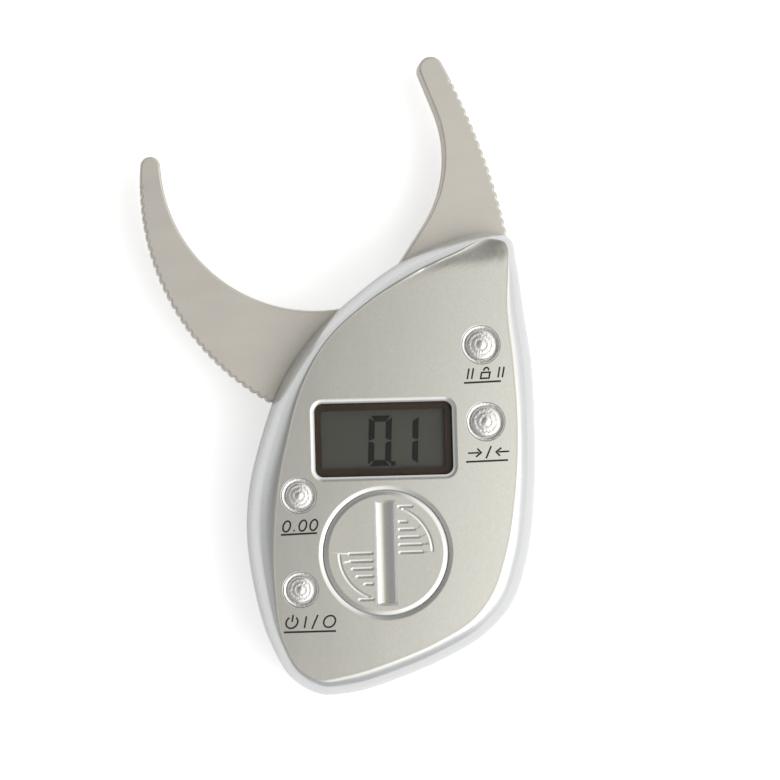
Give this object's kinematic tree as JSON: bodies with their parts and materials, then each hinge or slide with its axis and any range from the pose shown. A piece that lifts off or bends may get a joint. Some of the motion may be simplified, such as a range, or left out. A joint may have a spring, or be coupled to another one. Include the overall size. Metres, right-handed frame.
{
  "type": "skinfold caliper",
  "caption": "Hand-held skinfold caliper: a fixed jaw and a sprung pivoting jaw on a moulded housing with a display, push buttons and a coin-turned battery door.",
  "frame": {"origin": "the moving jaw's pivot axis where it meets the flat back of the housing", "axes": "+Y along the housing towards the jaw tips, +Z out of the face with the display, +X to the right of the display"},
  "size_m": [0.0854, 0.1397, 0.0216],
  "materials": {
    "housing_plastic": "metallic champagne silver paint",
    "jaw_plastic": "satin silver",
    "bright_plastic": "plated, turned rings",
    "dark_plastic": "matt",
    "lens": "polished",
    "display_glass": "polished",
    "strip_rubber": "matt",
    "board": "lacquered",
    "black_resin": "satin",
    "contact_brass": "bright",
    "bronze": "satin",
    "steel": "bright"
  },
  "bodies": {
    "housing": {"rear_cover": "housing_plastic", "front_cover": "housing_plastic", "fixed_jaw": "jaw_plastic", "pivot_washer": "steel", "pivot_screw": "steel", "jaw_spring": "steel", "sensor_track": "contact_brass", "main_board": "board", "controller_chip": "black_resin", "lcd_lens": "lens", "lcd_frame": "dark_plastic", "lcd_panel": "display_glass", "zebra_strip_upper": "strip_rubber", "zebra_strip_lower": "strip_rubber", "hold_dome": "steel", "units_dome": "steel", "zero_dome": "steel", "power_dome": "steel", "coin_cell": "steel", "battery_contact_positive": "contact_brass", "battery_contact_negative": "contact_brass", "case_screw_1": "steel", "case_screw_2": "steel", "case_screw_3": "steel", "case_screw_4": "steel", "board_screw_1": "steel", "board_screw_2": "steel", "board_screw_3": "steel", "jaw_screw_1": "steel", "jaw_screw_2": "steel"},
    "moving_jaw": {"moving_jaw": "jaw_plastic", "hub_bushing": "bronze", "sensor_wiper": "contact_brass"},
    "hold_button": {"hold_button": "bright_plastic"},
    "units_button": {"units_button": "bright_plastic"},
    "zero_button": {"zero_button": "bright_plastic"},
    "power_button": {"power_button": "bright_plastic"},
    "battery_door": {"battery_door": "housing_plastic"}
  },
  "joints": [
    {"name": "jaw_pivot", "type": "hinge", "parent": "housing", "child": "moving_jaw", "pos_m": [0, 0, 0.00851], "axis": [0, 0, -1], "range_deg": [0, 54.7], "stiffness_Nm_per_rad": 0.08, "springref_deg": -28.65, "deforming": ["jaw_spring"]},
    {"name": "hold_button_press", "type": "slide", "parent": "housing", "child": "hold_button", "axis": [0, 0, -1], "range_m": [0, 0.0006], "stiffness_N_per_m": 1000, "springref_m": -0.0005, "deforming": ["hold_dome"]},
    {"name": "units_button_press", "type": "slide", "parent": "housing", "child": "units_button", "axis": [0, 0, -1], "range_m": [0, 0.0006], "stiffness_N_per_m": 1000, "springref_m": -0.0005, "deforming": ["units_dome"]},
    {"name": "zero_button_press", "type": "slide", "parent": "housing", "child": "zero_button", "axis": [0, 0, -1], "range_m": [0, 0.0006], "stiffness_N_per_m": 1000, "springref_m": -0.0005, "deforming": ["zero_dome"]},
    {"name": "power_button_press", "type": "slide", "parent": "housing", "child": "power_button", "axis": [0, 0, -1], "range_m": [0, 0.0006], "stiffness_N_per_m": 1000, "springref_m": -0.0005, "deforming": ["power_dome"]},
    {"name": "battery_door_turn", "type": "hinge", "parent": "housing", "child": "battery_door", "pos_m": [0.0002, -0.0408, 0.0197], "axis": [0, 0, 1], "range_deg": [0, 50]}
  ]
}
